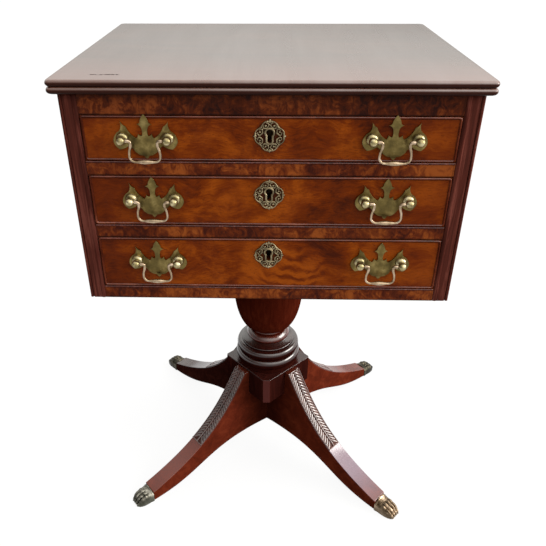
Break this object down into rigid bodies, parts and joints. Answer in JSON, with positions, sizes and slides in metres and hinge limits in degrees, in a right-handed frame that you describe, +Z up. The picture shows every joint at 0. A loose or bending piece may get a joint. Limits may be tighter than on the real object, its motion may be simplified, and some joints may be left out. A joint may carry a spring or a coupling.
{
  "type": "pedestal work table",
  "caption": "Pedestal work table: box case of sliding drawers with swinging bail handles and pierced escutcheons, on a turned urn column with sabre legs and brass paw toes.",
  "frame": {"origin": "on the floor under the middle of the column", "axes": "+X to the right of a person facing the drawers, +Y to the back, +Z up; drawers pull out to -Y"},
  "size_m": [0.516, 0.4336, 0.74],
  "materials": {
    "mahogany": "dark red-brown polished mahogany",
    "figured_mahogany": "warm figured mahogany veneer, waxed",
    "drawer_lining": "plain pale boards, unpolished",
    "aged_brass": "cast brass with an olive patina, worn bright on high spots",
    "escutcheon_bronze": "cast brass with a silvery brown patina"
  },
  "bodies": {
    "table": {"top_panel": "mahogany", "left_side_panel": "mahogany", "right_side_panel": "mahogany", "back_panel": "drawer_lining", "bottom_board": "drawer_lining", "front_left_stile": "mahogany", "front_right_stile": "mahogany", "top_rail": "figured_mahogany", "upper_divider": "figured_mahogany", "lower_divider": "figured_mahogany", "bottom_rail": "figured_mahogany", "upper_dust_board": "drawer_lining", "lower_dust_board": "drawer_lining", "pedestal_bearer": "mahogany", "column": "mahogany", "base_block": "mahogany", "front_left_leg": "mahogany", "front_right_leg": "mahogany", "back_left_leg": "mahogany", "back_right_leg": "mahogany", "front_left_toe_cap": "aged_brass", "front_right_toe_cap": "aged_brass", "back_left_toe_cap": "aged_brass", "back_right_toe_cap": "aged_brass"},
    "upper_drawer": {"upper_drawer_front": "figured_mahogany", "upper_drawer_left_side": "drawer_lining", "upper_drawer_right_side": "drawer_lining", "upper_drawer_back": "drawer_lining", "upper_drawer_bottom": "drawer_lining", "upper_drawer_escutcheon": "escutcheon_bronze", "upper_drawer_lock": "aged_brass", "upper_drawer_left_plate": "aged_brass", "upper_drawer_right_plate": "aged_brass"},
    "upper_drawer_left_bail": {"upper_drawer_left_bail": "aged_brass"},
    "upper_drawer_right_bail": {"upper_drawer_right_bail": "aged_brass"},
    "upper_drawer_bolt": {"upper_drawer_bolt": "aged_brass"},
    "middle_drawer": {"middle_drawer_front": "figured_mahogany", "middle_drawer_left_side": "drawer_lining", "middle_drawer_right_side": "drawer_lining", "middle_drawer_back": "drawer_lining", "middle_drawer_bottom": "drawer_lining", "middle_drawer_escutcheon": "escutcheon_bronze", "middle_drawer_lock": "aged_brass", "middle_drawer_left_plate": "aged_brass", "middle_drawer_right_plate": "aged_brass"},
    "middle_drawer_left_bail": {"middle_drawer_left_bail": "aged_brass"},
    "middle_drawer_right_bail": {"middle_drawer_right_bail": "aged_brass"},
    "middle_drawer_bolt": {"middle_drawer_bolt": "aged_brass"},
    "lower_drawer": {"lower_drawer_front": "figured_mahogany", "lower_drawer_left_side": "drawer_lining", "lower_drawer_right_side": "drawer_lining", "lower_drawer_back": "drawer_lining", "lower_drawer_bottom": "drawer_lining", "lower_drawer_escutcheon": "escutcheon_bronze", "lower_drawer_lock": "aged_brass", "lower_drawer_left_plate": "aged_brass", "lower_drawer_right_plate": "aged_brass"},
    "lower_drawer_left_bail": {"lower_drawer_left_bail": "aged_brass"},
    "lower_drawer_right_bail": {"lower_drawer_right_bail": "aged_brass"},
    "lower_drawer_bolt": {"lower_drawer_bolt": "aged_brass"}
  },
  "joints": [
    {"name": "upper_drawer_slide", "type": "slide", "parent": "table", "child": "upper_drawer", "axis": [0, -1, 0], "range_m": [0, 0.28]},
    {"name": "upper_drawer_left_bail_swing", "type": "hinge", "parent": "upper_drawer", "child": "upper_drawer_left_bail", "pos_m": [-0.1488, -0.209, 0.67075], "axis": [-1, 0, 0], "range_deg": [-12, 150]},
    {"name": "upper_drawer_right_bail_swing", "type": "hinge", "parent": "upper_drawer", "child": "upper_drawer_right_bail", "pos_m": [0.1488, -0.209, 0.67075], "axis": [-1, 0, 0], "range_deg": [-12, 150]},
    {"name": "upper_drawer_bolt_throw", "type": "slide", "parent": "upper_drawer", "child": "upper_drawer_bolt", "axis": [0, 0, 1], "range_m": [0, 0.006]},
    {"name": "middle_drawer_slide", "type": "slide", "parent": "table", "child": "middle_drawer", "axis": [0, -1, 0], "range_m": [0, 0.28]},
    {"name": "middle_drawer_left_bail_swing", "type": "hinge", "parent": "middle_drawer", "child": "middle_drawer_left_bail", "pos_m": [-0.1465, -0.209, 0.59225], "axis": [-1, 0, 0], "range_deg": [-12, 150]},
    {"name": "middle_drawer_right_bail_swing", "type": "hinge", "parent": "middle_drawer", "child": "middle_drawer_right_bail", "pos_m": [0.1465, -0.209, 0.59225], "axis": [-1, 0, 0], "range_deg": [-12, 150]},
    {"name": "middle_drawer_bolt_throw", "type": "slide", "parent": "middle_drawer", "child": "middle_drawer_bolt", "axis": [0, 0, 1], "range_m": [0, 0.006]},
    {"name": "lower_drawer_slide", "type": "slide", "parent": "table", "child": "lower_drawer", "axis": [0, -1, 0], "range_m": [0, 0.28]},
    {"name": "lower_drawer_left_bail_swing", "type": "hinge", "parent": "lower_drawer", "child": "lower_drawer_left_bail", "pos_m": [-0.148, -0.209, 0.503], "axis": [-1, 0, 0], "range_deg": [-12, 150]},
    {"name": "lower_drawer_right_bail_swing", "type": "hinge", "parent": "lower_drawer", "child": "lower_drawer_right_bail", "pos_m": [0.148, -0.209, 0.503], "axis": [-1, 0, 0], "range_deg": [-12, 150]},
    {"name": "lower_drawer_bolt_throw", "type": "slide", "parent": "lower_drawer", "child": "lower_drawer_bolt", "axis": [0, 0, 1], "range_m": [0, 0.006]}
  ]
}
